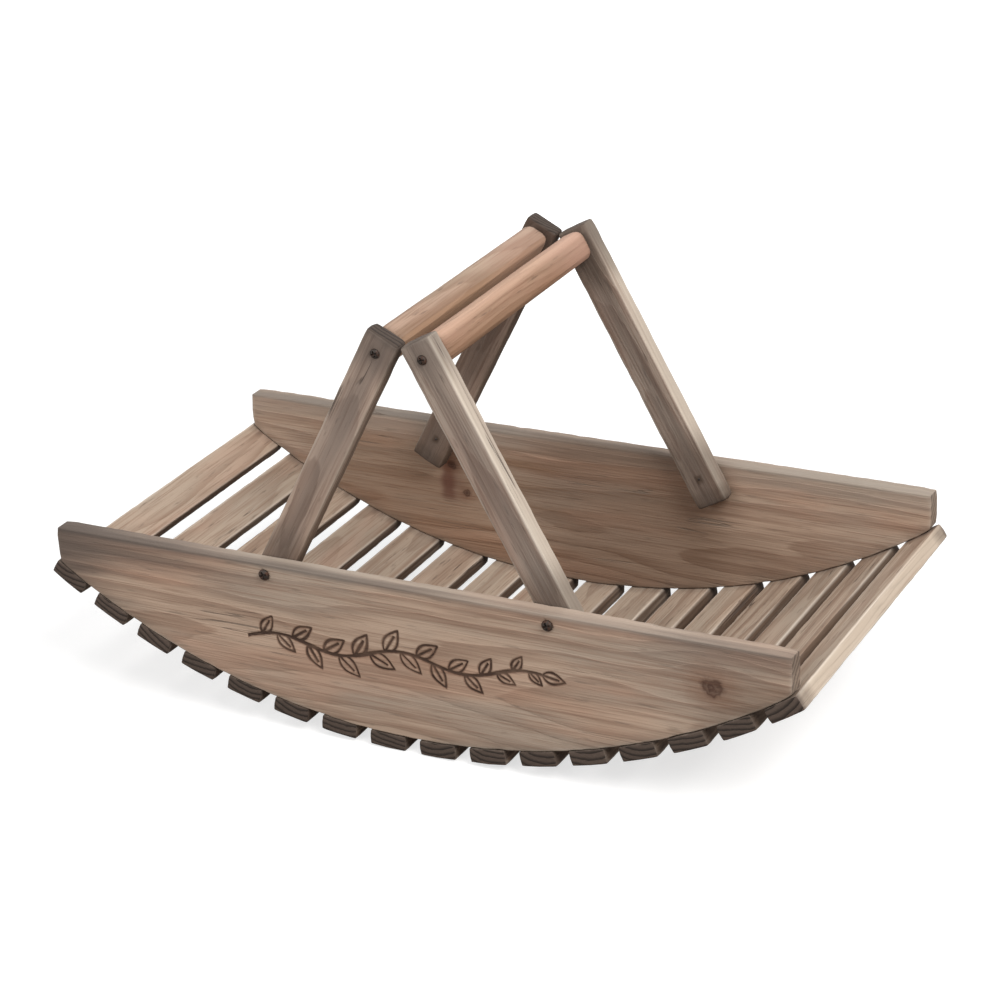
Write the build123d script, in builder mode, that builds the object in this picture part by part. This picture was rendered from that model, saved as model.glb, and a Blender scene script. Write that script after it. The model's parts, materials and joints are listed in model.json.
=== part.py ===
from build123d import *
from math import asin, atan, cos, degrees, sin, sqrt
import os

# Slatted flower trug: two boat-shaped side boards, slats stapled across under
# their curved edges, and two bail handles that turn on pivot screws and lean on
# each other over the middle.
# X runs along the trug, Y across it from front to rear, and Z up. The origin is
# on the ground under the middle. Lengths are in millimetres.

# Side boards
board_length = 480
board_end_height = 23.5
board_belly_depth = 75
board_thickness = 12
board_arris = 1
trug_width = 243.5

# Slats
slat_count = 16
slat_width = 24
slat_thickness = 10
slat_overhang = 1.5
slat_arris = 0.8

# Staples, one at each end of each slat, with the crown flush in the slat
staple_wire = 1.4
staple_crown_width = 9
staple_leg_length = 28
staple_slot_clearance = 0.05
staple_end_room = 0.5

# Bail handles
pivot_spacing = 185
pivot_below_top_edge = 7
arm_width = 22
arm_thickness = 12
arm_length_above_pivot = 176.5
arm_length_below_pivot = 19.5
arm_arris = 1
arm_to_board_gap = 0.5
handle_meeting_gap = 0.3
handle_landing_gap = 0.3

# Rails between the arms
rail_height = 19
rail_depth = 17
rail_corner_radius = 4
rail_below_arm_end = 2.5

# Pivot screws, which turn with the arms in the boards
pivot_screw_diameter = 4
pivot_head_diameter = 7
pivot_head_height = 2.2
pivot_running_clearance = 0.08
pivot_head_gap = 0.3
pivot_point_length = 2
pivot_point_proud = 1.2

# Rail screws
rail_screw_diameter = 3.4
rail_screw_head_diameter = 6
rail_screw_head_height = 1.8
rail_screw_length = 32
rail_screw_point_length = 4
rail_screw_point_room = 1
screw_seat_clearance = 0.05
head_crown_share = 0.62

# Extra length of every cut that runs out of a face
overrun = 1

# Widths that the fastenings share with their holes
staple_inner_width = staple_crown_width - 2 * staple_wire
staple_slot_width = staple_wire + 2 * staple_slot_clearance
crown_slot_depth = staple_wire + staple_slot_clearance
leg_slot_end = staple_leg_length + staple_end_room
pivot_hole_radius = pivot_screw_diameter / 2 + pivot_running_clearance

# Arc of the boards' lower edges and the fan of slats under it
half_length = board_length / 2
half_width = trug_width / 2
arc_radius = (board_belly_depth**2 + half_length**2) / (2 * board_belly_depth)
slat_half_angle = atan(slat_width / 2 / arc_radius)
end_slat_angle = asin((half_length + slat_overhang) / arc_radius) - slat_half_angle
slat_pitch_angle = 2 * end_slat_angle / (slat_count - 1)
middle_slat_angle = slat_pitch_angle / 2 if slat_count % 2 == 0 else 0

# Heights above the ground, which the inner edges of the middle slats touch
edge_reach = slat_width / 2 - slat_arris
under_radius = arc_radius + slat_thickness
arc_centre_height = under_radius * cos(middle_slat_angle) + edge_reach * sin(middle_slat_angle)
belly_height = arc_centre_height - arc_radius
board_end_bottom = belly_height + board_belly_depth
board_top = board_end_bottom + board_end_height

# Handle pivots, and the lean at which the two handles meet
pivot_x = pivot_spacing / 2
pivot_height = board_top - pivot_below_top_edge
corner_along = arm_length_above_pivot - arm_arris
corner_reach = sqrt(corner_along**2 + (arm_width / 2) ** 2)
corner_angle = atan(arm_width / 2 / corner_along)
handle_lean = asin((pivot_x - handle_meeting_gap / 2) / corner_reach) - corner_angle
arm_outer_y = half_width - board_thickness - arm_to_board_gap
arm_inner_y = arm_outer_y - arm_thickness
rail_middle = arm_length_above_pivot - rail_below_arm_end - rail_height / 2

# Fold of a handle, from its rest to lying just above the upper edge of the end slat
tip_across = arc_radius * sin(end_slat_angle) + edge_reach * cos(end_slat_angle) - pivot_x
tip_rise = edge_reach * sin(end_slat_angle) - arc_radius * cos(end_slat_angle)
tip_below_pivot = pivot_height - arc_centre_height - tip_rise
tip_reach = sqrt(tip_across**2 + tip_below_pivot**2)
landing_distance = arm_width / 2 + handle_landing_gap
landing_angle = asin(tip_below_pivot / tip_reach) - asin(landing_distance / tip_reach)
handle_fold = 90 + degrees(handle_lean + landing_angle)


def slat_plane(angle):
    """Plane on the boards' curved edge, facing down and outwards, X along the curve."""
    foot = (arc_radius * sin(angle), 0, arc_centre_height - arc_radius * cos(angle))
    return Plane(origin=foot, x_dir=(cos(angle), 0, sin(angle)), z_dir=(sin(angle), 0, -cos(angle)))


def arm_plane(end, y):
    """Plane across the trug at y, on a handle's pivot, with its Y along the leaning arm."""
    along = (cos(handle_lean), 0, end * sin(handle_lean))
    return Plane(origin=(end * pivot_x, y, pivot_height), x_dir=along, z_dir=(0, -1, 0))


def screw(head_plane, diameter, head_diameter, head_height, length, point_length):
    """Pan-head screw whose head rests on head_plane and whose shank runs back from it."""
    crown_radius = head_diameter / 2 * head_crown_share
    section = Plane(origin=head_plane.origin, x_dir=head_plane.x_dir, z_dir=-head_plane.y_dir)
    with BuildPart() as fastener:
        with BuildSketch(section):
            with BuildLine():
                Polyline(
                    (0, head_height),
                    (crown_radius, head_height),
                    (head_diameter / 2, 0),
                    (diameter / 2, 0),
                    (diameter / 2, point_length - length),
                    (0, -length),
                    close=True,
                )
            make_face()
        revolve(axis=Axis(head_plane.origin, head_plane.z_dir))
    return fastener.part


def staple_section(angle, y):
    """Plane through a slat at y, with its Y pointing out of the slat's underside."""
    seat = slat_plane(angle)
    centre = seat.offset(slat_thickness).origin + Vector(0, y, 0)
    return Plane(origin=centre, x_dir=seat.x_dir, z_dir=-seat.y_dir)


def staple(angle, y):
    """Square-wire staple whose crown lies flush with the slat's underside."""
    with BuildPart() as fastener:
        with BuildSketch(staple_section(angle, y)):
            with Locations((0, -staple_leg_length / 2)):
                Rectangle(staple_crown_width, staple_leg_length)
            with Locations((0, -staple_leg_length / 2 - staple_wire)):
                Rectangle(staple_inner_width, staple_leg_length, mode=Mode.SUBTRACT)
        extrude(amount=staple_wire / 2, both=True)
    return fastener.part


def leg_slots(angle, y, start_depth, end_depth):
    """Outline of the two slots for a staple's legs, between two depths under the slat."""
    with BuildSketch(staple_section(angle, y)) as slots:
        with Locations((0, -(start_depth + end_depth) / 2)):
            with GridLocations(staple_inner_width + staple_wire, 0, 2, 1):
                Rectangle(staple_slot_width, end_depth - start_depth)
    return slots.sketch


def crown_slot(angle, y):
    """Outline of the shallow slot that sinks a staple's crown into the slat."""
    with BuildSketch(staple_section(angle, y)) as slot:
        with Locations((0, (overrun - crown_slot_depth) / 2)):
            Rectangle(staple_crown_width + 2 * staple_slot_clearance, crown_slot_depth + overrun)
    return slot.sketch


def side_board(side):
    """Boat-shaped board, front for side -1 and rear for side 1."""
    outer_face = Plane.XZ.offset(-side * half_width)
    staple_y = side * (half_width - board_thickness / 2)
    with BuildPart() as board:
        with BuildSketch(outer_face):
            with BuildLine():
                ThreePointArc(
                    (-half_length, board_end_bottom),
                    (0, belly_height),
                    (half_length, board_end_bottom),
                )
                Polyline(
                    (half_length, board_end_bottom),
                    (half_length, board_top),
                    (-half_length, board_top),
                    (-half_length, board_end_bottom),
                )
            make_face()
        extrude(amount=side * board_thickness)
        top_and_end_edges = board.edges().filter_by(Axis.X) + board.edges().filter_by(Axis.Z)
        top_corners = board.edges().filter_by(Axis.Y).group_by(Axis.Z)[-1]
        chamfer(top_and_end_edges + top_corners, length=board_arris)
        with Locations(outer_face):
            with Locations((-pivot_x, pivot_height), (pivot_x, pivot_height)):
                Cylinder(pivot_hole_radius, 2 * (board_thickness + overrun), mode=Mode.SUBTRACT)
        for angle in slat_angles:
            slots = leg_slots(angle, staple_y, slat_thickness - overrun, leg_slot_end)
            extrude(slots, amount=staple_slot_width / 2, both=True, mode=Mode.SUBTRACT)
    return board.part


def slat(angle):
    """Flat slat across the trug, seated on the boards' curve at the angle."""
    seat = slat_plane(angle)
    with BuildPart() as strip:
        with BuildSketch(seat):
            Rectangle(slat_width, trug_width)
        extrude(amount=slat_thickness)
        chamfer(strip.edges().filter_by(Axis.Y), length=slat_arris)
        for side in sides:
            staple_y = side * (half_width - board_thickness / 2)
            slots = leg_slots(angle, staple_y, 0, slat_thickness + overrun)
            extrude(slots, amount=staple_slot_width / 2, both=True, mode=Mode.SUBTRACT)
            sink = crown_slot(angle, staple_y)
            extrude(sink, amount=staple_slot_width / 2, both=True, mode=Mode.SUBTRACT)
    return strip.part


def staple_row(side):
    """All staples along one side board, front for side -1 and rear for side 1."""
    y = side * (half_width - board_thickness / 2)
    return Compound(children=[staple(angle, y) for angle in slat_angles])


def handle_arm(end, side):
    """Flat arm of the left (end -1) or right (end 1) handle, at the front or rear."""
    outer_face = arm_plane(end, side * arm_outer_y)
    arm_middle = (arm_length_above_pivot - arm_length_below_pivot) / 2
    with BuildPart() as arm:
        with BuildSketch(outer_face):
            with Locations((0, arm_middle)):
                Rectangle(arm_width, arm_length_above_pivot + arm_length_below_pivot)
        extrude(amount=side * arm_thickness)
        chamfer(arm.edges(), length=arm_arris)
        with Locations(outer_face):
            Cylinder(
                pivot_screw_diameter / 2 + screw_seat_clearance,
                2 * (arm_thickness + overrun),
                mode=Mode.SUBTRACT,
            )
            with Locations((0, rail_middle)):
                Cylinder(
                    rail_screw_diameter / 2 + screw_seat_clearance,
                    2 * (arm_thickness + overrun),
                    mode=Mode.SUBTRACT,
                )
    return arm.part


def handle_rail(end):
    """Rounded rail between the two arms of a handle, drilled at both ends."""
    drill_depth = rail_screw_length - arm_thickness + rail_screw_point_room
    with BuildPart() as rail:
        with BuildSketch(arm_plane(end, 0)):
            with Locations((0, rail_middle)):
                RectangleRounded(rail_depth, rail_height, rail_corner_radius)
        extrude(amount=arm_inner_y, both=True)
        for side in sides:
            with Locations(arm_plane(end, side * (arm_inner_y - drill_depth / 2))):
                with Locations((0, rail_middle)):
                    Cylinder(
                        rail_screw_diameter / 2 + screw_seat_clearance,
                        drill_depth,
                        mode=Mode.SUBTRACT,
                    )
    return rail.part


def pivot_screw(end, side):
    """Pivot screw of one arm, its head just off the board's outer face."""
    head_y = side * (half_width + pivot_head_gap)
    shank = half_width + pivot_head_gap - arm_inner_y + pivot_point_proud
    head_plane = Plane(origin=(end * pivot_x, head_y, pivot_height), x_dir=(1, 0, 0), z_dir=(0, side, 0))
    return screw(
        head_plane,
        pivot_screw_diameter,
        pivot_head_diameter,
        pivot_head_height,
        shank,
        pivot_point_length,
    )


def rail_screw(end, side):
    """Screw through the top of an arm into the end of its rail."""
    arm_face = arm_plane(end, side * arm_outer_y)
    head_centre = arm_face.from_local_coords((0, rail_middle, 0))
    head_plane = Plane(origin=head_centre, x_dir=arm_face.x_dir, z_dir=(0, side, 0))
    return screw(
        head_plane,
        rail_screw_diameter,
        rail_screw_head_diameter,
        rail_screw_head_height,
        rail_screw_length,
        rail_screw_point_length,
    )


# Places in the rows
sides = (-1, 1)
side_names = {-1: "front", 1: "rear"}
end_names = {-1: "left", 1: "right"}
slat_angles = [index * slat_pitch_angle - end_slat_angle for index in range(slat_count)]

# The pieces, each under its own name
pieces = {}
for side in sides:
    pieces[f"{side_names[side]}_side_board"] = side_board(side)
    pieces[f"{side_names[side]}_slat_staples"] = staple_row(side)
for index, angle in enumerate(slat_angles):
    pieces[f"slat_{index + 1:02d}"] = slat(angle)
for end in end_names:
    pieces[f"{end_names[end]}_rail"] = handle_rail(end)
    for side in sides:
        name = f"{end_names[end]}_{side_names[side]}"
        pieces[f"{name}_arm"] = handle_arm(end, side)
        pieces[f"{name}_pivot_screw"] = pivot_screw(end, side)
        pieces[f"{name}_rail_screw"] = rail_screw(end, side)

os.makedirs("parts", exist_ok=True)
for name, piece in pieces.items():
    piece.label = name
    export_step(piece, f"parts/{name}.step")

print(f"arc radius {arc_radius:.2f}, slat pitch {degrees(slat_pitch_angle):.3f} degrees")
print(f"board top {board_top:.2f}, pivots at x {pivot_x:.2f}, height {pivot_height:.2f}")
print(f"handle lean {degrees(handle_lean):.2f}, fold {handle_fold:.2f} degrees")
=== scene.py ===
import json
from math import atan2, ceil, cos, pi, radians, sin, sqrt

import bmesh
import bpy
from mathutils import Matrix, Vector, noise


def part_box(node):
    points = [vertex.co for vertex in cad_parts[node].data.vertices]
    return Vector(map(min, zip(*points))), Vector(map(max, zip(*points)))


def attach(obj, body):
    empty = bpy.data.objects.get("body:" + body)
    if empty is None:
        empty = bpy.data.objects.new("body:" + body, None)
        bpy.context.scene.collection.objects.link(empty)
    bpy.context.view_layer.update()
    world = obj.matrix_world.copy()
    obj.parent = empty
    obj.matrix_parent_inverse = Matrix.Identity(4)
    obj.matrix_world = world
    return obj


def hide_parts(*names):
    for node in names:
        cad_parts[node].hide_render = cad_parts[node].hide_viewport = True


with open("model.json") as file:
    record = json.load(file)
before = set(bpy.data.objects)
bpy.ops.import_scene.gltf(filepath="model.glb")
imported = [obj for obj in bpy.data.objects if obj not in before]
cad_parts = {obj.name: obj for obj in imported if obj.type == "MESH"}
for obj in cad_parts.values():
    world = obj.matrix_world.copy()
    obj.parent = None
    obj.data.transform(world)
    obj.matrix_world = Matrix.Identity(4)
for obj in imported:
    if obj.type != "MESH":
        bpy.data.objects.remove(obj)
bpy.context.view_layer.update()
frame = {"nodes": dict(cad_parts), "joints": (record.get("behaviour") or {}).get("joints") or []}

# Slatted flower trug of weathered wood. Lengths are in metres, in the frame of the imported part.

# Sizes of the wood that the boxes of turned pieces don't give
board_end_height = 0.0235
slat_width = 0.024
slat_thickness = 0.010
arm_width = 0.022
rail_height = 0.019
rail_depth = 0.017

# Rounding that years of use have given the arrises
board_rounding = 0.0012
slat_rounding = 0.0011
arm_rounding = 0.0016
rail_rounding = 0.0052
sharp_angle = radians(40)

# Fineness of the meshes
rounding_steps = 3
staple_rounding_steps = 2
arc_steps = 96
hole_steps = 32
screw_steps = 36
dome_steps = 6
board_cell = 0.006
bar_cell = 0.005
cell_slack_share = 0.001
merge_distance = 0.000002

# Screws and staples
pivot_screw_radius = 0.002
pivot_hole_radius = 0.00208
pivot_head_height = 0.0022
rail_screw_radius = 0.0017
rail_head_height = 0.0018
point_length = 0.003
dome_roundness = 0.8
recess_length_share = 0.62
recess_width_share = 0.17
recess_depth_share = 0.75
recess_turns = (radians(20), radians(110))
staple_wire = 0.0014
staple_crown_width = 0.009
staple_leg_length = 0.028
staple_proud = 0.0002
staple_rounding_share = 0.3

# Wear of the faces, arrises and corners, and dirt with painted shade near the joints. A scale is
# the number of dents per metre
wear_reach = 0.0032
face_warp = 0.00022
warp_scale = 22
arris_dent = 0.0007
dent_scale = 140
dent_level = 0.35
nick_depth = 0.0022
nick_scale = 75
nick_threshold = 0.34
corner_reach = 0.008
corner_dent = 0.0013
grime_and_shade_reach = 0.007
seed_strides = (1.7, 0.9, 2.3)
board_wear_share = 0.75
slat_wear_share = 0.4
arm_wear_share = 0.6

# Burnt sprig on the front board
sprig_left = -0.108
sprig_right = 0.098
sprig_middle_height = 0.0625
sprig_rise = 0.035
sprig_wave_height = 0.0042
sprig_wave_length = 0.083
sprig_leaf_gap = 0.0104
sprig_leaf_length = 0.0182
sprig_leaf_half_width = 0.0045
sprig_leaf_lean = radians(44)
leaf_size_share = 0.8
middle_gain_share = 0.3
tip_loss_share = 0.25
midrib_share = 0.75
leaf_reach_share = 1.2
leaf_fullness = 0.8
sprig_stem_half_width = 0.0011
sprig_line_half_width = 0.0008
sprig_line_unevenness = 0.0004
line_scale = 70
edge_scale = 900
edge_unevenness_share = 0.4
sprig_zone_margin = 0.021
sprig_cell = 0.0005
burn_edge = 0.0004
burn_halo = 0.0009
burn_rim = 0.6
burn_depth = 0.0005

# View of the photograph
view_azimuth = radians(27.513)
view_elevation = radians(23.864)
view_roll = radians(-2.764)
view_distance = 1.77817
view_shift_right = 0.002291
view_shift_up = 0.004491
view_lens = 105.12
sensor_width = 36


# Boards' arc, from the box of a board

board_low, board_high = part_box("front_side_board")
half_length = board_high.x
board_top = board_high.z
board_thickness = board_high.y - board_low.y
board_inner_y = -board_high.y
belly_height = board_low.z
belly_depth = board_top - board_end_height - belly_height
arc_radius = (belly_depth**2 + half_length**2) / (2 * belly_depth)
arc_centre_height = belly_height + arc_radius


def middle(node):
    """Centre of a node's box."""
    low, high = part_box(node)
    return (low + high) / 2


def placed(origin, along, out):
    """Matrix of a piece whose X runs along its grain and whose Z points out of its face."""
    along = Vector(along).normalized()
    out = Vector(out).normalized()
    across = out.cross(along)
    turn = Matrix((along, across, out)).transposed().to_4x4()
    return Matrix.Translation(origin) @ turn


# Shapes

def slice_mesh(bm, faces, axis, places):
    """Cut the faces by planes square to an axis, from the lowest place to the highest."""
    normal = Vector((0, 0, 0))
    normal[axis] = 1
    rest = list(faces)
    for place in sorted(places):
        geom = dict.fromkeys(rest)
        for face in rest:
            geom.update(dict.fromkeys([*face.edges, *face.verts]))
        cut = bmesh.ops.bisect_plane(bm, geom=list(geom), plane_co=normal * place, plane_no=normal)
        found = [item for item in cut["geom"] if isinstance(item, bmesh.types.BMFace)]
        rest = [face for face in found if face.calc_center_median()[axis] > place]


def steps_between(low, high, step):
    """Places between two ends, evenly spaced and at most a step apart."""
    count = max(1, ceil((high - low) / step - cell_slack_share))
    return [low + (high - low) * index / count for index in range(1, count)]


def round_arrises(bm, rounding, steps=rounding_steps):
    """Round every sharp edge of a mesh."""
    edges = [edge for edge in bm.edges if edge.is_manifold and edge.calc_face_angle() > sharp_angle]
    bmesh.ops.bevel(
        bm, geom=edges, offset=rounding, offset_type="OFFSET", segments=steps, profile=0.5,
        affect="EDGES", material=-1,
    )


def bar_mesh(size, rounding):
    """Rounded bar about the origin, cut into short lengths that wear can bend."""
    bm = bmesh.new()
    bmesh.ops.create_cube(bm, size=1, matrix=Matrix.Diagonal((*size, 1)))
    round_arrises(bm, rounding)
    slice_mesh(bm, bm.faces[:], 0, steps_between(-size[0] / 2, size[0] / 2, bar_cell))
    for axis in (1, 2):
        reach = size[axis] / 2 - wear_reach
        slice_mesh(bm, bm.faces[:], axis, [-reach, 0, reach])
    return bm


def bar_depths(size):
    """Function of how deep a point lies under each pair of a bar's faces."""
    return lambda co: [size[axis] / 2 - abs(co[axis]) for axis in range(3)]


def board_mesh():
    """Boat-shaped board in its own XY plane, its lower edge an arc."""
    end_bottom = board_top - board_end_height
    sweep = 2 * atan2(half_length, arc_centre_height - end_bottom)
    bm = bmesh.new()
    start = bm.verts.new((-half_length, end_bottom, -board_thickness / 2))
    bmesh.ops.spin(
        bm, geom=[start], cent=(0, arc_centre_height, -board_thickness / 2), axis=(0, 0, 1),
        angle=sweep, steps=arc_steps,
    )
    raised = bmesh.ops.extrude_edge_only(bm, edges=bm.edges[:])
    for vert in raised["geom"]:
        if isinstance(vert, bmesh.types.BMVert):
            vert.co.y = board_top
    outer = bmesh.ops.extrude_face_region(bm, geom=bm.faces[:])
    outer_verts = [item for item in outer["geom"] if isinstance(item, bmesh.types.BMVert)]
    bmesh.ops.translate(bm, verts=outer_verts, vec=(0, 0, board_thickness))
    bmesh.ops.recalc_face_normals(bm, faces=bm.faces[:])
    round_arrises(bm, board_rounding)
    slice_mesh(bm, bm.faces[:], 1, steps_between(belly_height, board_top, board_cell))
    return bm


def above_arc(co):
    """Height of a point of a board over the arc of its lower edge."""
    return co.y - arc_centre_height + sqrt(arc_radius**2 - min(co.x**2, half_length**2))


def board_depths(co):
    """How deep a point lies under a board's ends, edges and faces."""
    from_edges = min(board_top - co.y, above_arc(co))
    return [half_length - abs(co.x), from_edges, board_thickness / 2 - abs(co.z)]


def weather(bm, depths, seed, from_joint, dents=1.0):
    """Dent the arrises and warp the faces a little, always inwards, and note wear, and dirt with
    painted shade near the joints.

    The depths say how deep a point lies under each pair of faces, and from_joint how far it is
    from the next piece.
    """
    worn = bm.verts.layers.float.new("worn")
    grime_and_shade = bm.verts.layers.float.new("grime_and_shade")
    shift = Vector([seed * stride for stride in seed_strides])
    bm.normal_update()
    moves = []
    for vert in bm.verts:
        _, second, third = sorted(depths(vert.co))
        near = max(0.0, 1 - second / wear_reach)
        corner = max(0.0, 1 - third / corner_reach)
        coarse = noise.noise(vert.co * warp_scale + shift)
        fine = noise.noise(vert.co * dent_scale + shift)
        nick = max(0.0, noise.noise(vert.co * nick_scale - shift) - nick_threshold)
        warp = face_warp * (0.5 + 0.5 * coarse)
        dent = dents * near * (arris_dent * max(0.0, dent_level + fine) + nick_depth * nick)
        vert[worn] = near
        # Near the next piece the wood darkens: dirt, and painted shade of the joint
        vert[grime_and_shade] = max(0.0, 1 - max(0.0, from_joint(vert.co)) / grime_and_shade_reach)
        moves.append(vert.normal * (warp + dent + dents * corner_dent * near * corner**2))
    for vert, move in zip(bm.verts, moves):
        vert.co -= move


def finish_piece(bm, name, place, material, body, nodes):
    """Turn a mesh in its own place into a piece that stands for its nodes."""
    bmesh.ops.transform(bm, matrix=place, verts=bm.verts[:])
    mesh = bpy.data.meshes.new(name)
    bm.to_mesh(mesh)
    bm.free()
    mesh.shade_smooth()
    mesh.materials.append(material)
    piece = bpy.data.objects.new(name, mesh)
    bpy.context.scene.collection.objects.link(piece)
    piece.modifiers.new("even_normals", "WEIGHTED_NORMAL")
    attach(piece, body)
    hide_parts(*nodes)
    return piece


def cut_away(piece, bm):
    """Take a cutter's shape out of a piece, for good."""
    mesh = bpy.data.meshes.new("cutter")
    bm.to_mesh(mesh)
    bm.free()
    cutter = bpy.data.objects.new("cutter", mesh)
    bpy.context.scene.collection.objects.link(cutter)
    cut = piece.modifiers.new("cut", "BOOLEAN")
    cut.operation = "DIFFERENCE"
    cut.object = cutter
    bpy.context.view_layer.objects.active = piece
    with bpy.context.temp_override(object=piece, active_object=piece):
        bpy.ops.object.modifier_move_to_index(modifier="cut", index=0)
        bpy.ops.object.modifier_apply(modifier="cut")
    bpy.data.objects.remove(cutter)
    bpy.data.meshes.remove(mesh)


def drill(piece, centre, radius, depth):
    """Cut a round hole along Y through a piece."""
    bm = bmesh.new()
    turn = Matrix.Translation(centre) @ Matrix.Rotation(pi / 2, 4, "X")
    bmesh.ops.create_cone(
        bm, cap_ends=True, segments=hole_steps, radius1=radius, radius2=radius, depth=depth,
        matrix=turn,
    )
    cut_away(piece, bm)


# Materials

def tone(red, green, blue):
    """Colour of a paint chart's 0 to 255 values, as the shader takes it."""
    linear = []
    for share in (red / 255, green / 255, blue / 255):
        linear.append(share / 12.92 if share < 0.04045 else ((share + 0.055) / 1.055) ** 2.4)
    return (*linear, 1)


class Paint:
    """Node tree of one material, with short ways to add nodes to it."""

    def __init__(self, name):
        self.material = bpy.data.materials.new(name)
        self.material.use_nodes = True
        self.tree = self.material.node_tree
        self.shader = self.tree.nodes["Principled BSDF"]

    def add(self, kind, inputs=None, **settings):
        """Node with its settings, and with inputs that are values or other nodes' sockets."""
        made = self.tree.nodes.new(kind)
        for setting, value in settings.items():
            setattr(made, setting, value)
        for key, value in (inputs or {}).items():
            if isinstance(value, bpy.types.NodeSocket):
                self.tree.links.new(value, made.inputs[key])
            else:
                made.inputs[key].default_value = value
        return made

    def calc(self, operation, *values):
        """Sum, product or other reckoning of values and sockets."""
        return self.add("ShaderNodeMath", dict(enumerate(values)), operation=operation).outputs[0]

    def centred(self, pattern):
        """Noise about 0 instead of about 0.5."""
        return self.calc("SUBTRACT", pattern, 0.5)

    def fade(self, value, start, end):
        """Smooth change from 0 at start to 1 at end, whichever of them is higher."""
        inputs = {"Value": value, "From Min": min(start, end), "From Max": max(start, end)}
        risen = self.add("ShaderNodeMapRange", inputs, interpolation_type="SMOOTHSTEP").outputs[0]
        return risen if start < end else self.calc("SUBTRACT", 1.0, risen)

    def fall(self, value, start, end):
        """Smooth fall from 1 at start to 0 at end."""
        return self.fade(value, end, start)

    def mix(self, share, first, second, blend="MIX"):
        """Colour between two others."""
        inputs = {0: share, 6: first, 7: second}
        return self.add("ShaderNodeMix", inputs, data_type="RGBA", blend_type=blend).outputs[2]

    def noise(self, point, scale, shift=0.0, detail=3.0):
        """Noise whose grain is stretched by the three scales, per metre."""
        inputs = {"Vector": point, "Location": (shift, shift, shift), "Scale": scale}
        moved = self.add("ShaderNodeMapping", inputs).outputs[0]
        inputs = {"Vector": moved, "Scale": 1.0, "Detail": detail}
        return self.add("ShaderNodeTexNoise", inputs).outputs[0]

    def attribute(self, name):
        """What the mesh notes at each point."""
        return self.add("ShaderNodeAttribute", attribute_name=name).outputs["Fac"]

    def facing(self, normal, direction):
        """How squarely a face looks along a direction, from -1 to 1."""
        inputs = {0: normal, 1: tuple(direction)}
        return self.add("ShaderNodeVectorMath", inputs, operation="DOT_PRODUCT").outputs["Value"]

    def link(self, socket, name):
        """Lead a socket to one of the shader's inputs."""
        self.tree.links.new(socket, self.shader.inputs[name])

    def bump(self, height, strength, distance):
        """Fine relief on the surface."""
        inputs = {"Strength": strength, "Distance": distance, "Height": height}
        self.link(self.add("ShaderNodeBump", inputs).outputs[0], "Normal")


# Woods: colours of the early and late growth, the grey and rosy weathering, the worn arris, the
# end grain, and the painted shade (dark) and painted light (pale) of the narrow sides, with how
# far apart the year rings are and how strong each effect is
boards_look = {
    "early": tone(188, 163, 143), "late": tone(138, 110, 92), "grey": tone(160, 147, 134),
    "rosy": tone(188, 149, 126), "worn": tone(200, 188, 174), "end": tone(122, 107, 94),
    "dark": tone(92, 78, 69), "pale": tone(214, 204, 192),
    "ring": 0.0042, "grey_share": 0.55, "rosy_share": 0.5, "worn_share": 0.6, "end_share": 0.6,
    "roughness": 0.84,
}
slats_look = {
    "early": tone(182, 162, 144), "late": tone(138, 112, 94), "grey": tone(160, 148, 134),
    "rosy": tone(184, 150, 130), "worn": tone(222, 210, 196), "end": tone(86, 73, 65),
    "dark": tone(86, 66, 52), "pale": tone(202, 187, 170),
    "ring": 0.0034, "grey_share": 0.5, "rosy_share": 0.45, "worn_share": 0.65, "end_share": 1.0,
    "roughness": 0.86,
}
left_arms_look = {
    "early": tone(178, 155, 139), "late": tone(122, 98, 84), "grey": tone(154, 140, 130),
    "rosy": tone(158, 127, 112), "worn": tone(204, 188, 172), "end": tone(76, 65, 58),
    "dark": tone(96, 78, 64), "pale": tone(192, 177, 162),
    "ring": 0.0030, "grey_share": 0.5, "rosy_share": 0.4, "worn_share": 0.55, "end_share": 0.95,
    "roughness": 0.8,
}
# The right arms get a brighter painted light on their upper narrow sides
right_arms_look = {
    **left_arms_look, "early": tone(172, 154, 140), "grey": tone(152, 143, 134),
    "worn": tone(216, 204, 190), "pale": tone(204, 191, 176), "worn_share": 0.7, "end_share": 0.35,
}
left_rail_look = {
    "early": tone(176, 151, 131), "late": tone(136, 109, 90), "grey": tone(160, 145, 129),
    "rosy": tone(176, 140, 122), "worn": tone(200, 184, 164), "end": tone(84, 68, 57),
    "dark": tone(122, 92, 70), "pale": tone(200, 165, 137),
    "ring": 0.0032, "grey_share": 0.55, "rosy_share": 0.45, "worn_share": 0.4, "end_share": 0.95,
    "roughness": 0.72,
}
right_rail_look = {
    **left_rail_look, "early": tone(168, 135, 112), "late": tone(132, 98, 76),
    "grey": tone(152, 127, 108), "rosy": tone(182, 140, 119), "worn": tone(190, 162, 138),
    "grey_share": 0.4, "rosy_share": 0.6,
}

# Knots, burns, stains and rust, and the painted shade and light of the arms and rails
knot_core = tone(66, 42, 33)
knot_rim = tone(116, 80, 60)
scorched = tone(108, 78, 60)
charred = tone(60, 42, 33)
water_grey = tone(92, 82, 76)
water_brown = tone(84, 60, 41)
food_brown = tone(118, 84, 54)
damp_brown = tone(76, 63, 53)
rust_brown = tone(66, 46, 28)
shade_brown = tone(62, 40, 26)
# Painted shade low on the rails, and painted light along the right rail's top
rail_painted_shade = tone(122, 90, 64)
rail_painted_light = tone(228, 190, 166)
edge_grey = tone(152, 143, 133)
blush_red = tone(198, 158, 142)
knot_red = tone(88, 46, 36)
end_late = tone(44, 36, 31)
pit_dark = tone(22, 17, 15)

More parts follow.
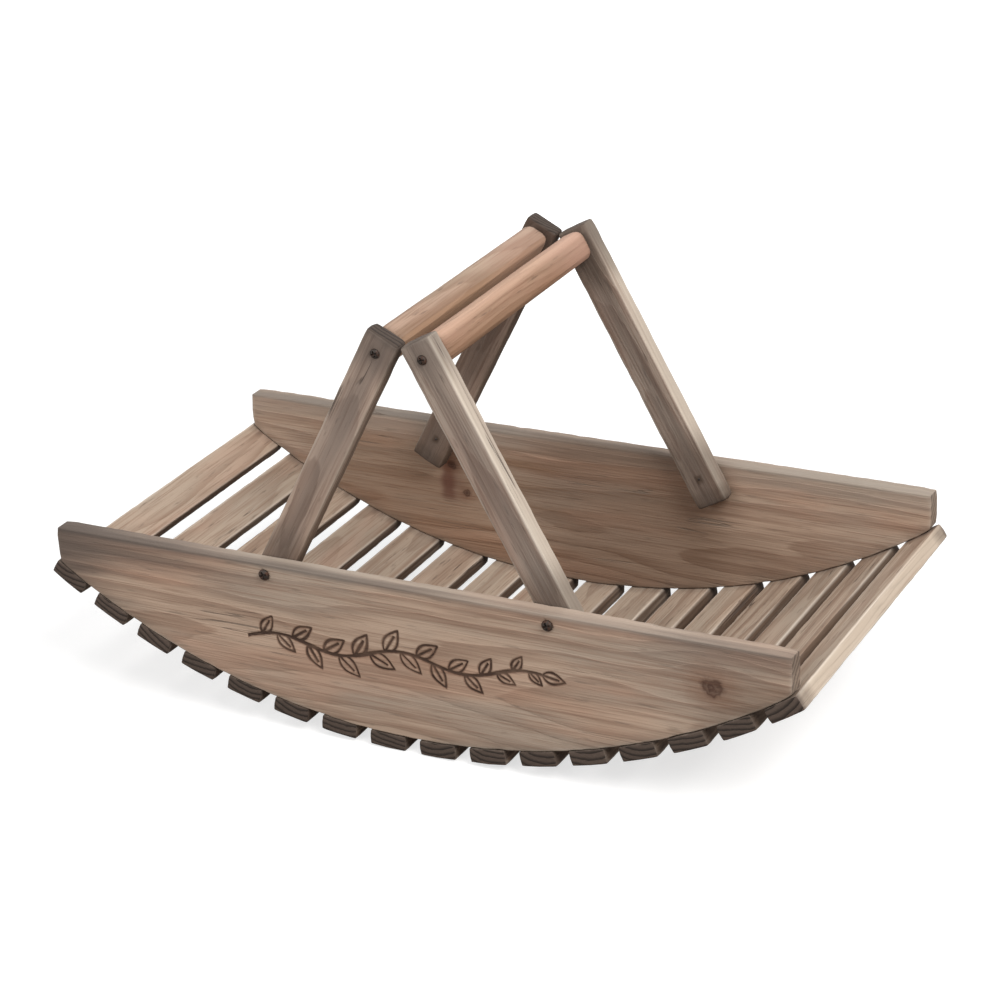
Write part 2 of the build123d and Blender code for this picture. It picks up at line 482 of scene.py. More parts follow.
# Marks of the woods: how many there are per metre along the grain and across it, how far each
# pattern is moved from the others, and how detailed it is
wood_marks = {
    "ripple": ((260, 260, 260), 41, 2.0),
    "ring_wander": ((3.5, 13, 13), 0, 2.0),
    "ring_tremble": ((28, 150, 150), 0, 2.0),
    "fibre": ((22, 900, 900), 3, 3.0),
    "streak": ((7, 190, 190), 9, 3.0),
    "patch": ((6, 24, 24), 5, 4.0),
    "blush": ((7, 30, 30), 17, 4.0),
    "dirt": ((55, 420, 420), 23, 3.0),
    "split_line": ((5, 210, 210), 31, 1.0),
    "split_area": ((14, 60, 60), 37, 1.0),
}
seed_shift = 7.31
ring_wander = 0.022
ring_tremble = 0.0014

# How strongly each mark shows in all woods
late_share = 0.6
streak_share = 0.55
fibre_share = 0.6
dirt_share = 0.5
grime_and_shade_share = 0.6
crack_share = 0.8
knot_rim_share = 0.45
knot_core_share = 0.9
stain_and_shading_raggedness = 0.9

# Knots, in shares of a knot's radius, then how much a distance along the grain counts against one
# across it, and how strongly a knot pulls the grain
knot_bend_shares = (0.4, 5)
knot_core_shares = (0.5, 1.15)
knot_rim_shares = (0.6, 3)
knot_ripple_share = 0.9
knot_ring_share = 0.22
knot_bend_length_share = 0.5
knot_length_share = 0.85
knot_pull_share = 0.85

# Relief of the wood, in shares of its height, and how much its roughness varies
relief_height = 0.0005
relief_strength = 0.65
late_relief = 0.5
fibre_relief = 0.9
streak_relief = 0.5
crack_relief = -1.4
roughness_spread = 0.16
wood_shine = 0.3

# Rusted steel and burnt wood: marks per metre, and the pits' depth
rust_grain = (420, 420, 420)
pit_grain = (1800, 1800, 1800)
pit_depth = 0.0002
char_grain = (70, 70, 260)


def bend_round_knots(paint, x, y, ripple, knots):
    """Bend y round the knots, and give their dark cores, their own rings and their rims."""
    cores = 0.0
    rims = 0.0
    for knot_x, knot_y, radius in knots:
        from_x = paint.calc("SUBTRACT", x, knot_x)
        from_y = paint.calc("SUBTRACT", y, knot_y)
        y_square = paint.calc("MULTIPLY", from_y, from_y)
        long_x = paint.calc("MULTIPLY", from_x, knot_bend_length_share)
        away = paint.calc("SQRT", paint.calc("MULTIPLY_ADD", long_x, long_x, y_square))
        near = paint.fall(away, *[share * radius for share in knot_bend_shares])
        pull = paint.calc("MULTIPLY", paint.calc("MULTIPLY", from_y, near), knot_pull_share)
        y = paint.calc("SUBTRACT", y, pull)
        oval_x = paint.calc("MULTIPLY", from_x, knot_length_share)
        from_knot = paint.calc("SQRT", paint.calc("MULTIPLY_ADD", oval_x, oval_x, y_square))
        from_knot = paint.calc("MULTIPLY_ADD", ripple, knot_ripple_share * radius, from_knot)
        rings = paint.calc("DIVIDE", from_knot, knot_ring_share * radius)
        ringed = paint.calc("MULTIPLY_ADD", paint.calc("PINGPONG", rings, 1.0), 0.4, 0.6)
        core = paint.fall(from_knot, *[share * radius for share in knot_core_shares])
        cores = paint.calc("MAXIMUM", paint.calc("MULTIPLY", core, ringed), cores)
        rim = paint.fall(from_knot, *[share * radius for share in knot_rim_shares])
        rims = paint.calc("MAXIMUM", rim, rims)
    return y, cores, rims


def year_rings(paint, marks, y, z, pith, spacing):
    """Late growth of the rings about a pith outside the piece, wandering along the grain."""
    from_y = paint.calc("SUBTRACT", y, pith[0])
    from_z = paint.calc("SUBTRACT", z, pith[1])
    squares = paint.calc("MULTIPLY_ADD", from_y, from_y, paint.calc("MULTIPLY", from_z, from_z))
    wander = paint.centred(marks["ring_wander"])
    tremble = paint.centred(marks["ring_tremble"])
    radius = paint.calc("MULTIPLY_ADD", wander, ring_wander, paint.calc("SQRT", squares))
    radius = paint.calc("MULTIPLY_ADD", tremble, ring_tremble, radius)
    ring = paint.calc("FRACT", paint.calc("DIVIDE", radius, spacing))
    return paint.calc("MULTIPLY", paint.fade(ring, 0.3, 0.92), paint.fall(ring, 0.93, 1.0))


def hairline_cracks(paint, marks):
    """Thin lines along the grain, in a few places only."""
    from_line = paint.calc("ABSOLUTE", paint.centred(marks["split_line"]))
    split_here = paint.fade(marks["split_area"], 0.59, 0.66)
    return paint.calc("MULTIPLY", paint.fall(from_line, 0.002, 0.012), split_here)


def side_layers(paint, marks, place, normal, look, sides):
    """Layers of painted light (pale) and painted shade (dark) over the piece's two narrow faces."""
    across = place.to_3x3().col[1]
    layers = []
    for direction, share in zip((-across, across), sides):
        if share:
            squarely = paint.fade(paint.facing(normal, direction), 0.45, 0.8)
            uneven = paint.calc("MULTIPLY", squarely, paint.fade(marks["streak"], 0.1, 0.55))
            layers.append((uneven, abs(share), look["pale"] if share > 0 else look["dark"]))
    return layers


def stain_and_shading_layers(paint, marks, own_axes, stains):
    """Layers of the stains and of the painted shade and light, whose limits run ragged along the
    grain.
    """
    layers = []
    for share, colour, *limits in stains:
        stained = 1.0
        for axis, start, full in limits:
            blur = (full - start) * stain_and_shading_raggedness
            ragged = own_axes[axis]
            for mark in ("patch", "streak"):
                ragged = paint.calc("MULTIPLY_ADD", paint.centred(marks[mark]), blur, ragged)
            stained = paint.calc("MULTIPLY", paint.fade(ragged, start, full), stained)
        layers.append((stained, share, colour))
    return layers


def wood(name, place, look, seed, pith, knots=(), tint=1.0, sides=(0.0, 0.0), stains=()):
    """Weathered sawn wood, solid through the piece, its grain along the piece's own X.

    The sides give how much painted light (above 0) or painted shade (below 0) the piece's narrow
    faces get. Each stain or patch of painted shading is a share, a colour and its limits, made by
    on_x, on_y and on_z.
    """
    paint = Paint(name)
    back = place.inverted()
    coordinates = paint.add("ShaderNodeTexCoord")
    inputs = {
        "Vector": coordinates.outputs["Object"],
        "Location": back.translation,
        "Rotation": back.to_euler(),
    }
    own = paint.add("ShaderNodeMapping", inputs).outputs[0]
    x, y, z = paint.add("ShaderNodeSeparateXYZ", {0: own}).outputs
    normal = coordinates.outputs["Normal"]

    # Growth, fibres, patches, dirt, painted shade near the joints and hairline cracks
    marks = {}
    for mark, (grain, shift, detail) in wood_marks.items():
        marks[mark] = paint.noise(own, grain, seed * seed_shift + shift, detail)
    bent_y, cores, rims = bend_round_knots(paint, x, y, paint.centred(marks["ripple"]), knots)
    late = year_rings(paint, marks, bent_y, z, pith, look["ring"])
    crack = hairline_cracks(paint, marks)
    worn = paint.fade(paint.attribute("worn"), 0.25, 0.95)
    rubbed = paint.calc("MULTIPLY", worn, paint.fade(marks["patch"], 0.3, 0.6))
    grime_and_shade = paint.calc("MULTIPLY", paint.attribute("grime_and_shade"), paint.fade(marks["streak"], 0.2, 0.7))
    along = place.to_3x3().col[0]
    end_on = paint.fade(paint.calc("ABSOLUTE", paint.facing(normal, along)), 0.35, 0.8)

    # Colour, from the growth outwards to what weather and hands have done, with painted light and
    # shade on the narrow sides and in some stains, and painted shade near the joints
    layers = [
        (paint.fade(marks["patch"], 0.42, 0.62), look["grey_share"], look["grey"]),
        (paint.fade(marks["blush"], 0.5, 0.66), look["rosy_share"], look["rosy"]),
        (paint.fade(marks["streak"], 0.5, 0.72), streak_share, look["late"]),
        (paint.fade(marks["fibre"], 0.46, 0.72), fibre_share, look["late"]),
        (paint.fade(marks["dirt"], 0.6, 0.75), dirt_share, look["end"]),
        # Painted light and painted shade on the narrow faces
        *side_layers(paint, marks, place, normal, look, sides),
        (rubbed, look["worn_share"], look["worn"]),
        *stain_and_shading_layers(paint, marks, (x, y, z), stains),
        # Dirt and painted shade near the joints
        (grime_and_shade, grime_and_shade_share, look["end"]),
        (crack, crack_share, look["end"]),
    ]
    if knots:
        layers += [(rims, knot_rim_share, knot_rim), (cores, knot_core_share, knot_core)]
    layers.append((end_on, look["end_share"], paint.mix(late, look["end"], end_late)))
    colour = paint.mix(paint.calc("MULTIPLY", late, late_share), look["early"], look["late"])
    for mask, share, over in layers:
        colour = paint.mix(paint.calc("MULTIPLY", mask, share), colour, over)
    if tint != 1.0:
        colour = paint.mix(1.0, colour, (tint, tint, tint, 1), "MULTIPLY")

    # Relief of the late growth, fibres, streaks and cracks
    height = paint.calc("MULTIPLY", marks["fibre"], fibre_relief)
    for mark, relief in ((late, late_relief), (marks["streak"], streak_relief), (crack, crack_relief)):
        height = paint.calc("MULTIPLY_ADD", mark, relief, height)
    paint.bump(height, relief_strength, relief_height)
    smoothest = look["roughness"] - roughness_spread / 2
    roughness = paint.calc("MULTIPLY_ADD", marks["fibre"], roughness_spread, smoothest)
    paint.link(roughness, "Roughness")
    paint.shader.inputs["Specular IOR Level"].default_value = wood_shine
    return paint, colour


def bare_wood(*args, **options):
    """Wood as it was sawn."""
    paint, colour = wood(*args, **options)
    paint.link(colour, "Base Color")
    return paint.material


def burnt_wood(*args, **options):
    """Wood with a drawing burnt into it, where the mesh says how burnt it is."""
    paint, colour = wood(*args, **options)
    burnt = paint.attribute("burnt")
    point = paint.add("ShaderNodeTexCoord").outputs["Object"]
    uneven = paint.fade(paint.noise(point, char_grain), 0.3, 0.65)
    scorch = paint.calc("MULTIPLY", paint.fade(burnt, 0.0, burn_rim), 0.6)
    colour = paint.mix(scorch, colour, scorched)
    dark = paint.calc("MULTIPLY_ADD", uneven, 0.3, 0.66)
    colour = paint.mix(paint.calc("MULTIPLY", paint.fade(burnt, burn_rim, 0.9), dark), colour, charred)
    paint.link(colour, "Base Color")
    return paint.material


def rusted_steel(name, fresh, rust):
    """Old steel that has rusted dark, with brighter rust in patches."""
    paint = Paint(name)
    point = paint.add("ShaderNodeTexCoord").outputs["Object"]
    patches = paint.fade(paint.noise(point, rust_grain, detail=4.0), 0.42, 0.66)
    pits = paint.noise(point, pit_grain, 4.0)
    colour = paint.mix(patches, fresh, rust)
    colour = paint.mix(paint.calc("MULTIPLY", paint.fade(pits, 0.5, 0.7), 0.6), colour, pit_dark)
    paint.bump(pits, 0.5, pit_depth)
    paint.link(colour, "Base Color")
    paint.link(paint.calc("MULTIPLY_ADD", patches, 0.3, 0.5), "Roughness")
    paint.shader.inputs["Metallic"].default_value = 0.4
    return paint.material


screw_rust = rusted_steel("screw_rust", tone(54, 46, 41), tone(78, 52, 39))
staple_rust = rusted_steel("staple_rust", tone(84, 78, 74), tone(104, 70, 48))


# Burnt sprig: a waving stem with a leaf on either side in turn

stem_end = sprig_right - sprig_leaf_gap


def stem_height(x):
    """Height of the stem over the sprig's middle line."""
    return sprig_rise * x + sprig_wave_height * sin(2 * pi * (x - sprig_left) / sprig_wave_length)


def stem_slope(x):
    """Slope of the stem, from its formula."""
    wave = 2 * pi / sprig_wave_length
    return sprig_rise + sprig_wave_height * wave * cos(wave * (x - sprig_left))


def sprig_leaves():
    """Root, direction and length of each leaf, smaller towards the tip."""
    leaves = []
    count = int((sprig_right - sprig_left) / sprig_leaf_gap) - 1
    for index in range(count):
        share = index / (count - 1)
        root_x = sprig_left + sprig_leaf_gap * (index + 1)
        side = 1 if index % 2 == 0 else -1
        lean = atan2(stem_slope(root_x), 1) + side * sprig_leaf_lean
        size = sprig_leaf_length * (leaf_size_share + middle_gain_share * sin(pi * share))
        size *= 1 - tip_loss_share * share
        root = Vector((root_x, stem_height(root_x)))
        leaves.append((root, Vector((cos(lean), sin(lean))), size))
    tip = Vector((stem_end, stem_height(stem_end)))
    tip_direction = Vector((1, stem_slope(tip.x))).normalized()
    leaves.append((tip, tip_direction, sprig_leaf_length * leaf_size_share))
    return leaves


def leaf_inside(point, leaf):
    """How far inside a leaf's drawn outline or midrib a point is, below zero elsewhere."""
    root, direction, length = leaf
    offset = point - root
    along = offset.dot(direction) / length
    past = max(0.0, -along, along - 1) * length
    along = min(1.0, max(0.0, along))
    across = abs(offset.x * direction.y - offset.y * direction.x)
    half_width = sprig_leaf_half_width * (length / sprig_leaf_length)
    half_width *= sin(pi * along**leaf_fullness)
    midrib = sprig_line_half_width - across if along < midrib_share else -1.0
    return max(sprig_line_half_width - abs(half_width - across), midrib) - past


def burn_sprig(bm, surface):
    """Sink the sprig into the board's outer face and note how burnt each point is."""
    burnt = bm.verts.layers.float.new("burnt")
    leaves = sprig_leaves()
    for vert in bm.verts:
        point = Vector((vert.co.x, vert.co.y - sprig_middle_height))
        beside = not sprig_left - sprig_leaf_gap < point.x < sprig_right + sprig_leaf_gap
        above = abs(point.y) > sprig_zone_margin
        if beside or above or vert.co.z < surface - 2 * board_rounding:
            continue
        from_stem = abs(point.y - stem_height(point.x)) * cos(atan2(stem_slope(point.x), 1))
        on_stem = sprig_left <= point.x <= stem_end
        inside = sprig_stem_half_width - from_stem if on_stem else -1.0
        for leaf in leaves:
            if (point - leaf[0]).length < leaf[2] * leaf_reach_share:
                inside = max(inside, leaf_inside(point, leaf))
        inside += edge_unevenness_share * burn_edge * noise.noise(vert.co * edge_scale)
        inside += sprig_line_unevenness * noise.noise(vert.co * line_scale)
        share = min(1.0, max(0.0, (inside + burn_halo) / (burn_halo + burn_edge)))
        vert[burnt] = share
        vert.co.z -= burn_depth * max(0.0, share - burn_rim) / (1 - burn_rim)


def cut_sprig_zone(bm, surface):
    """Fine cells on the outer face where the sprig goes."""
    low_y = sprig_middle_height - sprig_zone_margin
    high_y = sprig_middle_height + sprig_zone_margin
    low_x = sprig_left - sprig_leaf_gap / 2
    high_x = sprig_right + sprig_leaf_gap / 2

    def zone_faces():
        """Faces of the outer face that lie in the zone."""
        found = []
        for face in bm.faces:
            centre = face.calc_center_median()
            near = abs(centre.z - surface) < board_rounding / 4
            if near and low_x < centre.x < high_x and low_y < centre.y < high_y:
                found.append(face)
        return found

    slice_mesh(bm, bm.faces[:], 1, [low_y, high_y])
    slice_mesh(bm, bm.faces[:], 0, [low_x, high_x])
    slice_mesh(bm, zone_faces(), 1, steps_between(low_y, high_y, sprig_cell))
    slice_mesh(bm, zone_faces(), 0, steps_between(low_x, high_x, sprig_cell))


# Limits of the stains and of the painted shade and light

def on_x(start, full):
    """Limit of a stain or painted shading on its piece's own X: where it begins and where it is full.
    """
    return (0, start, full)


def on_y(start, full):
    """Limit of a stain or painted shading on its piece's own Y."""
    return (1, start, full)


def on_z(start, full):
    """Limit of a stain or painted shading on its piece's own Z."""
    return (2, start, full)


# Boards

def side_board(name, knots, stains, seed):
    """One board, its holes drilled for the pivots, and the front one with the sprig."""
    centre = middle(name)
    front = centre.y < 0
    place = placed((0, centre.y, 0), (1, 0, 0), (0, -1, 0))
    bm = board_mesh()
    if front:
        cut_sprig_zone(bm, board_thickness / 2)
    weather(bm, board_depths, seed, above_arc, board_wear_share)
    if front:
        burn_sprig(bm, board_thickness / 2)
    make = burnt_wood if front else bare_wood
    finish = make(f"{name}_wood", place, boards_look, seed, board_pith, knots, stains=stains)
    piece = finish_piece(bm, f"{name}_worn", place, finish, "trug", [name])
    for joint in frame["joints"]:
        pivot_x, _, pivot_z = joint["pos_m"]
        drill(piece, (pivot_x, centre.y, pivot_z), pivot_hole_radius, 2 * board_thickness)


# Each knot's place along the board, its height and its radius
front_knots = [(0.1922, 0.0811, 0.0069)]
rear_knots = [(-0.0885, 0.079, 0.0036), (-0.0785, 0.0605, 0.0030)]
board_pith = (0.055, -0.06)

# Rain has greyed the boards along their top outer arrises and at their ends, and the inner face of
# the rear one is browner and darker in broad patches. Its knots have bled a little red
top_edge = on_y(board_top - 0.003, board_top - 0.001)
below_top_edge = on_y(board_top + 0.0005, board_top - 0.0015)
outer_arris = [on_y(board_top - 0.006, board_top - 0.001), on_z(-0.001, 0.004)]
inner_face = on_z(-0.002, 0.004)
top_of_inner_face = on_z(-0.006, 0.002)
front_stains = [
    (0.4, edge_grey, top_edge),
    (0.3, water_grey, *outer_arris),
    (0.55, water_grey, on_x(0.06, -0.02), *outer_arris),
    (0.45, water_grey, on_x(-0.1, -0.17), top_edge),
    (
        0.6, water_grey, on_y(board_top - 0.036, board_top - 0.008),
        on_x(-0.08, -0.2), below_top_edge,
    ),
    (0.55, water_grey, on_x(-0.165, -0.235)),
    (0.35, water_grey, on_x(-0.2, -0.235)),
    (
        0.55, water_grey, on_y(board_top - 0.022, board_top - 0.006),
        on_x(0.14, 0.2), below_top_edge,
    ),
    (0.5, water_brown, on_x(0.16, 0.24), on_y(board_top - 0.016, board_top - 0.034)),
]
rear_stains = [
    (0.55, edge_grey, top_edge),
    (0.45, edge_grey, on_y(board_top - 0.018, board_top - 0.006), top_of_inner_face),
    (
        0.35, water_grey, on_y(board_top - 0.003, board_top - 0.0005),
        on_x(0.11, 0.02), top_of_inner_face,
    ),
    (0.5, water_brown, on_x(-0.07, 0.0), on_x(0.125, 0.085), inner_face),
    (0.35, water_brown, on_y(0.078, 0.058), on_x(0.19, 0.12), on_x(0.06, 0.1), inner_face),
    (0.4, food_brown, on_y(0.104, 0.085), on_x(0.0, -0.07), on_x(-0.21, -0.16), inner_face),
    (
        0.35, knot_red, on_x(-0.102, -0.088), on_x(-0.074, -0.088),
        on_y(0.1, 0.078), on_y(0.044, 0.066), inner_face,
    ),
    (
        0.65, knot_red, on_x(-0.099, -0.093), on_x(-0.085, -0.091),
        on_y(0.089, 0.08), on_y(0.05, 0.062), inner_face,
    ),
]
side_board("front_side_board", front_knots, front_stains, 1)
side_board("rear_side_board", rear_knots, rear_stains, 2)


# Slats

slat_names = sorted(node for node in frame["nodes"] if node.startswith("slat_"))
first_slat_seed = 10
chance_seed = 7
soaked_length = 0.006
soaked_overrun = 0.0005


def soaked_ends(half, low_share, high_share, colour):
    """Dark water stains at a bar's two ends."""
    start = half - soaked_length
    full = half + soaked_overrun
    return [(low_share, colour, on_x(-start, -full)), (high_share, colour, on_x(start, full))]


def slat(name, index):
    """One slat, square to the boards' arc, its pith and tint by chance."""
    low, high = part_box(name)
    centre = middle(name)
    angle = atan2(centre.x, arc_centre_height - centre.z)
    place = placed(centre, (0, 1, 0), (sin(angle), 0, -cos(angle)))
    size = (high.y - low.y, slat_width, slat_thickness)
    seed = first_slat_seed + index
    bm = bar_mesh(size, slat_rounding)
    weather(bm, bar_depths(size), seed, lambda co: board_inner_y - abs(co.x), slat_wear_share)
    pith = (0.03 * (noise.random() - 0.5), -0.03 - 0.03 * noise.random())
    tint = 0.92 + 0.16 * noise.random()

    # Painted shade on the narrow sides between the slats, and painted light on the outer sides of the
    # two end slats
    sides = [-0.85, -0.85]
    if index == 0:
        sides[0] = 0.6
    if index == len(slat_names) - 1:
        sides[1] = 0.7
    stains = soaked_ends(size[0] / 2, 0.85, 0.85, slats_look["end"])
    finish = bare_wood(f"{name}_wood", place, slats_look, seed, pith, (), tint, sides, stains)
    finish_piece(bm, f"{name}_worn", place, finish, "trug", [name])


noise.seed_set(chance_seed)
for index, name in enumerate(slat_names):
    slat(name, index)


# Staples

def staple():
    """One staple about the middle of its crown's top, its legs down along Z."""
    bm = bmesh.new()
    crown = Matrix.Translation((0, 0, -staple_wire / 2))
    crown = crown @ Matrix.Diagonal((staple_crown_width, staple_wire, staple_wire, 1))
    bmesh.ops.create_cube(bm, size=1, matrix=crown)
    inner = staple_crown_width / 2 - staple_wire
    slice_mesh(bm, bm.faces[:], 0, [-inner, inner])
    feet = []
    for face in bm.faces:
        if face.normal.z < -0.9 and abs(face.calc_center_median().x) > inner:
            feet.append(face)
    legs = bmesh.ops.extrude_discrete_faces(bm, faces=feet)
    tips = [vert for face in legs["faces"] for vert in face.verts]
    bmesh.ops.translate(bm, verts=tips, vec=(0, 0, staple_wire - staple_leg_length))
    bmesh.ops.remove_doubles(bm, verts=bm.verts[:], dist=merge_distance)
    bmesh.ops.recalc_face_normals(bm, faces=bm.faces[:])
    round_arrises(bm, staple_wire * staple_rounding_share, staple_rounding_steps)
    return bm


def staple_row(name):
    """One staple at the end of each slat, its crown a little proud of the wood."""
    row_y = middle(name).y
    row = bmesh.new()
    for node in slat_names:
        centre = middle(node)
        angle = atan2(centre.x, arc_centre_height - centre.z)
        out = Vector((sin(angle), 0, -cos(angle)))
        crown_top = centre + out * (slat_thickness / 2 + staple_proud)
        crown_top.y = row_y
        one = staple()
        place = placed(crown_top, (cos(angle), 0, sin(angle)), out)
        bmesh.ops.transform(one, matrix=place, verts=one.verts[:])
        mesh = bpy.data.meshes.new("one_staple")
        one.to_mesh(mesh)
        one.free()
        row.from_mesh(mesh)
        bpy.data.meshes.remove(mesh)
    unmoved = Matrix.Identity(4)
    finish_piece(row, f"{name}_rusted", unmoved, staple_rust, "trug", [name])


staple_row("front_slat_staples")
staple_row("rear_slat_staples")


# Screws

def screw(name, body, radius, head_height):
    """Domed screw with a cross recess, its shank running in along Y."""
    low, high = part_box(name)
    side = -1 if low.y < 0 else 1
    head_radius = (high.x - low.x) / 2
    length = high.y - low.y - head_height
    seat = high.y - head_height if side > 0 else low.y + head_height
    centre = middle(name)
    place = Matrix.Translation((centre.x, seat, centre.z)) @ Matrix.Rotation(-side * pi / 2, 4, "X")
    bm = bmesh.new()
    outline = [(0, head_height)]
    for step in range(1, dome_steps):
        angle = radians(90 * step / dome_steps)
        outline.append((head_radius * sin(angle), head_height * cos(angle) ** dome_roundness))
    outline += [(head_radius, 0), (radius, 0), (radius, point_length - length), (0, -length)]
    verts = [bm.verts.new((across, 0, up)) for across, up in outline]
    for first, second in zip(verts, verts[1:]):
        bm.edges.new((first, second))
    bmesh.ops.spin(
        bm, geom=bm.verts[:] + bm.edges[:], cent=(0, 0, 0), axis=(0, 0, 1), angle=2 * pi,
        steps=screw_steps, use_merge=True,
    )
    bmesh.ops.remove_doubles(bm, verts=bm.verts[:], dist=merge_distance)
    bmesh.ops.recalc_face_normals(bm, faces=bm.faces[:])
    piece = finish_piece(bm, f"{name}_rusted", place, screw_rust, body, [name])
    long = 2 * head_radius * recess_length_share
    narrow = 2 * head_radius * recess_width_share
    deep = 2 * head_height * recess_depth_share
    for turn in recess_turns:
        bar = bmesh.new()
        stand = Matrix.Translation((0, 0, head_height)) @ Matrix.Rotation(turn, 4, "Z")
        stretched = place @ stand @ Matrix.Diagonal((long, narrow, deep, 1))
        bmesh.ops.create_cube(bar, size=1, matrix=stretched)
        cut_away(piece, bar)


# Handles

arm_pith = (0.004, -0.035)
rail_pith = (0.006, -0.03)
rail_seed_step = 5


def arm_stains(half, pivot_place, top_shares):
    """Stains of an arm: soaked ends, dark wood where it leaves the trug, rust and greyed arrises.

    The top shares say how dark the upper end is soaked, and the part below it.
    """
    return [
        *soaked_ends(half, 0.9, top_shares[0], left_arms_look["end"]),
        (0.55, damp_brown, on_x(0.058 - half, 0.030 - half)),
        (0.5, damp_brown, on_x(0.014 - half, 0.006 - half)),
        (
            0.8, rust_brown, on_x(pivot_place - 0.0045, pivot_place - 0.0015),
            on_x(pivot_place + 0.0035, pivot_place + 0.0015),
            on_y(-0.0035, -0.0015), on_y(0.0035, 0.0015),
        ),
        (top_shares[1], water_grey, on_x(half - 0.034, half - 0.012)),
        (0.4, water_grey, on_y(-0.0085, -0.002), on_y(0.0085, 0.002)),
    ]


def arm(name, body, seed, pivot, along, look, top_shares, more_stains):
    """One arm, its own X up along it, with painted light on its upper narrow side and painted shade
    on its lower one.
    """
    low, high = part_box(name)
    centre = middle(name)
    length = (high.z - low.z - arm_width * abs(along.x)) / along.z
    size = (length, arm_width, high.y - low.y)
    place = placed(centre, along, (0, -1, 0))
    bm = bar_mesh(size, arm_rounding)
    weather(bm, bar_depths(size), seed, lambda co: grime_and_shade_reach, arm_wear_share)
    # Painted light on the narrow side that faces up, painted shade on the one that faces down
    sides = (0.8, -0.7) if along.x < 0 else (-0.7, 0.8)
    stains = arm_stains(length / 2, along.dot(pivot - centre), top_shares) + more_stains
    finish = bare_wood(f"{name}_wood", place, look, seed, arm_pith, (), 1.0, sides, stains)
    finish_piece(bm, f"{name}_worn", place, finish, body, [name])


def rail(name, body, seed, along, look, sides, stains):
    """The rail between two arms, its own X across the trug and its own Z up along the arms."""
    low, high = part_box(name)
    size = (high.y - low.y, rail_depth, rail_height)
    place = placed(middle(name), (0, 1, 0), along)
    bm = bar_mesh(size, rail_rounding)
    weather(bm, bar_depths(size), seed, lambda co: size[0] / 2 - abs(co.x))
    finish = bare_wood(f"{name}_wood", place, look, seed, rail_pith, (), 1.0, sides, stains)
    finish_piece(bm, f"{name}_worn", place, finish, body, [name])


def handle(end, seed, arm_look, rail_look, top_shares, rear_arm_stain, rail_sides, rail_stains):
    """Two arms and a rail of one handle, with their screws."""
    joint = next(item for item in frame["joints"] if item["name"].startswith(end))
    pivot = Vector(joint["pos_m"])
    body = f"{end}_handle"
    rail_centre = middle(f"{end}_rail")
    along = Vector((rail_centre.x - pivot.x, 0, rail_centre.z - pivot.z)).normalized()
    for number, side in enumerate(("front", "rear")):
        name = f"{end}_{side}_arm"
        more_stains = [rear_arm_stain] if side == "rear" else []
        arm(name, body, seed + number, pivot, along, arm_look, top_shares, more_stains)
        screw(f"{end}_{side}_pivot_screw", body, pivot_screw_radius, pivot_head_height)
        screw(f"{end}_{side}_rail_screw", body, rail_screw_radius, rail_head_height)
    rail_seed = seed + rail_seed_step
    rail(f"{end}_rail", body, rail_seed, along, rail_look, rail_sides, rail_stains)


handle(
    "left", 40, left_arms_look, left_rail_look,
    top_shares=(0.85, 0.6),
    # Painted shade over the upper part of the left rear arm, behind the right rail
    rear_arm_stain=(0.55, shade_brown, on_x(-0.055, -0.015)),
    # Painted light on the left rail's face towards the right rail, which lies in that rail's shade
    rail_sides=(0.8, 0.0),
    rail_stains=[
        # Painted shade on the rail's lower side
        (0.4, rail_painted_shade, on_y(0.002, -0.004)),
        (0.25, blush_red, on_x(0.0, 0.06)),
    ],
)
handle(
    "right", 60, right_arms_look, right_rail_look,
    top_shares=(0.2, 0.45),
    rear_arm_stain=(0.45, damp_brown, on_x(0.05, 0.068)),
    rail_sides=(0.0, 0.0),
    rail_stains=[
        # Painted shade on the rail's lower part and painted light along its top
        (0.6, rail_painted_shade, on_z(0.004, -0.006)),
        (0.4, rail_painted_light, on_z(0.003, 0.0075)),
        (0.4, blush_red, on_x(0.03, 0.09)),
    ],
)


# Floor, light and view

floor_half_size = 6
floor_lit = (0.32, 0.31, 0.3, 1)
floor_seen = (0.5, 0.5, 0.5, 1)
glow_near = 0.66
glow_rise = 0.4
glow_start = 0.5
glow_end = 1.1
world_light = 0.42
lamp_aim = Vector((0, 0, 0.08))
white = (1, 1, 1, 1)


def lamp(name, spot, size, power, colour=(1, 1, 1)):
    """Round soft lamp that looks at the middle of the trug."""
    light = bpy.data.lights.new(name, "AREA")
    light.shape = "DISK"
    light.size = size
    light.energy = power
    light.color = colour
    made = bpy.data.objects.new(name, light)
    made.location = spot
    aim = lamp_aim - Vector(spot)
    made.rotation_euler = aim.to_track_quat("-Z", "Y").to_euler()
    bpy.context.scene.collection.objects.link(made)


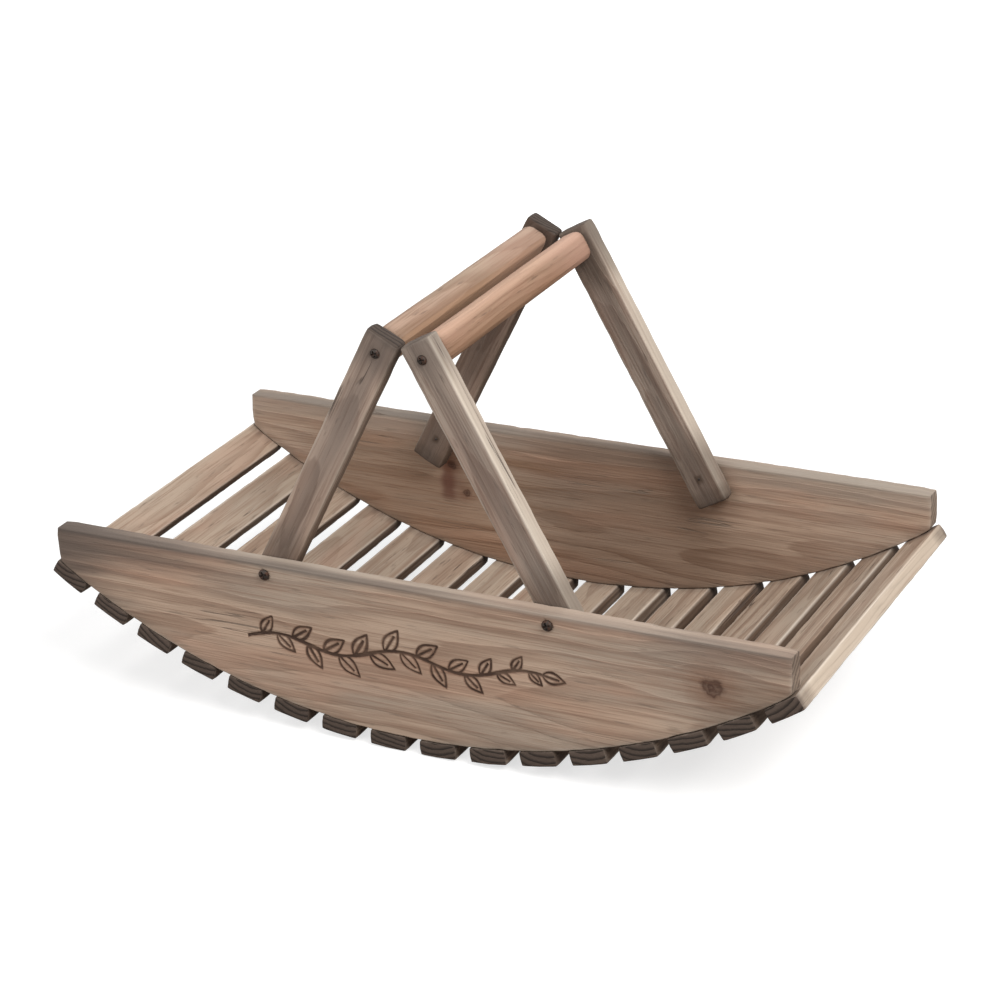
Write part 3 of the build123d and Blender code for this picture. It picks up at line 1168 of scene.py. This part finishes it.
def pale_floor():
    """Plain white floor that keeps a soft shadow near the trug and throws little light back up."""
    bm = bmesh.new()
    bmesh.ops.create_grid(bm, x_segments=1, y_segments=1, size=floor_half_size)
    mesh = bpy.data.meshes.new("floor")
    bm.to_mesh(mesh)
    bm.free()
    floor = bpy.data.objects.new("floor", mesh)
    bpy.context.scene.collection.objects.link(floor)
    paint = Paint("floor_white")
    seen = paint.add("ShaderNodeLightPath").outputs["Is Camera Ray"]
    paint.link(paint.mix(seen, floor_lit, floor_seen), "Base Color")
    paint.shader.inputs["Roughness"].default_value = 1.0
    paint.shader.inputs["Specular IOR Level"].default_value = 0.0
    paint.shader.inputs["Emission Color"].default_value = white
    point = paint.add("ShaderNodeTexCoord").outputs["Object"]
    distance = paint.add("ShaderNodeVectorMath", {0: point}, operation="LENGTH").outputs["Value"]
    glow = paint.calc("MULTIPLY_ADD", paint.fade(distance, glow_start, glow_end), glow_rise, glow_near)
    paint.link(paint.calc("MULTIPLY", seen, glow), "Emission Strength")
    mesh.materials.append(paint.material)


def studio():
    """Even white surroundings and three soft lamps."""
    world = bpy.data.worlds.new("studio")
    bpy.context.scene.world = world
    world.use_nodes = True
    tree = world.node_tree
    background = tree.nodes["Background"]
    paths = tree.nodes.new("ShaderNodeLightPath")
    seen = tree.nodes.new("ShaderNodeMath")
    seen.operation = "MAXIMUM"
    tree.links.new(paths.outputs["Is Camera Ray"], seen.inputs[0])
    tree.links.new(paths.outputs["Is Glossy Ray"], seen.inputs[1])
    strength = tree.nodes.new("ShaderNodeMapRange")
    strength.inputs["To Min"].default_value = world_light
    strength.inputs["To Max"].default_value = 1.0
    tree.links.new(seen.outputs[0], strength.inputs["Value"])
    background.inputs["Color"].default_value = white
    tree.links.new(strength.outputs[0], background.inputs["Strength"])
    lamp("key", (1.5, -0.7, 1.9), 1.5, 52, (1, 0.98, 0.95))
    lamp("fill", (-1.1, -1.9, 1.1), 1.6, 17)
    lamp("back", (-0.4, 1.8, 1.6), 1.2, 8)


def photo_camera():
    """Camera at the photograph's viewing angle, with its small roll."""
    right = Vector((cos(view_azimuth), sin(view_azimuth), 0))
    back = Vector((
        sin(view_azimuth) * cos(view_elevation),
        -cos(view_azimuth) * cos(view_elevation),
        sin(view_elevation),
    ))
    up = back.cross(right)
    rolled_right = cos(view_roll) * right + sin(view_roll) * up
    rolled_up = cos(view_roll) * up - sin(view_roll) * right
    spot = Vector((0, 0, board_top)) + back * view_distance
    spot += rolled_right * view_shift_right + rolled_up * view_shift_up
    data = bpy.data.cameras.new("photo_view")
    data.sensor_fit = "HORIZONTAL"
    data.sensor_width = sensor_width
    data.lens = view_lens
    camera = bpy.data.objects.new("photo_view", data)
    turn = Matrix((rolled_right, rolled_up, back)).transposed().to_4x4()
    camera.matrix_world = Matrix.Translation(spot) @ turn
    bpy.context.scene.collection.objects.link(camera)
    bpy.context.scene.camera = camera


pale_floor()
studio()
photo_camera()
bpy.context.scene.view_settings.view_transform = "Standard"
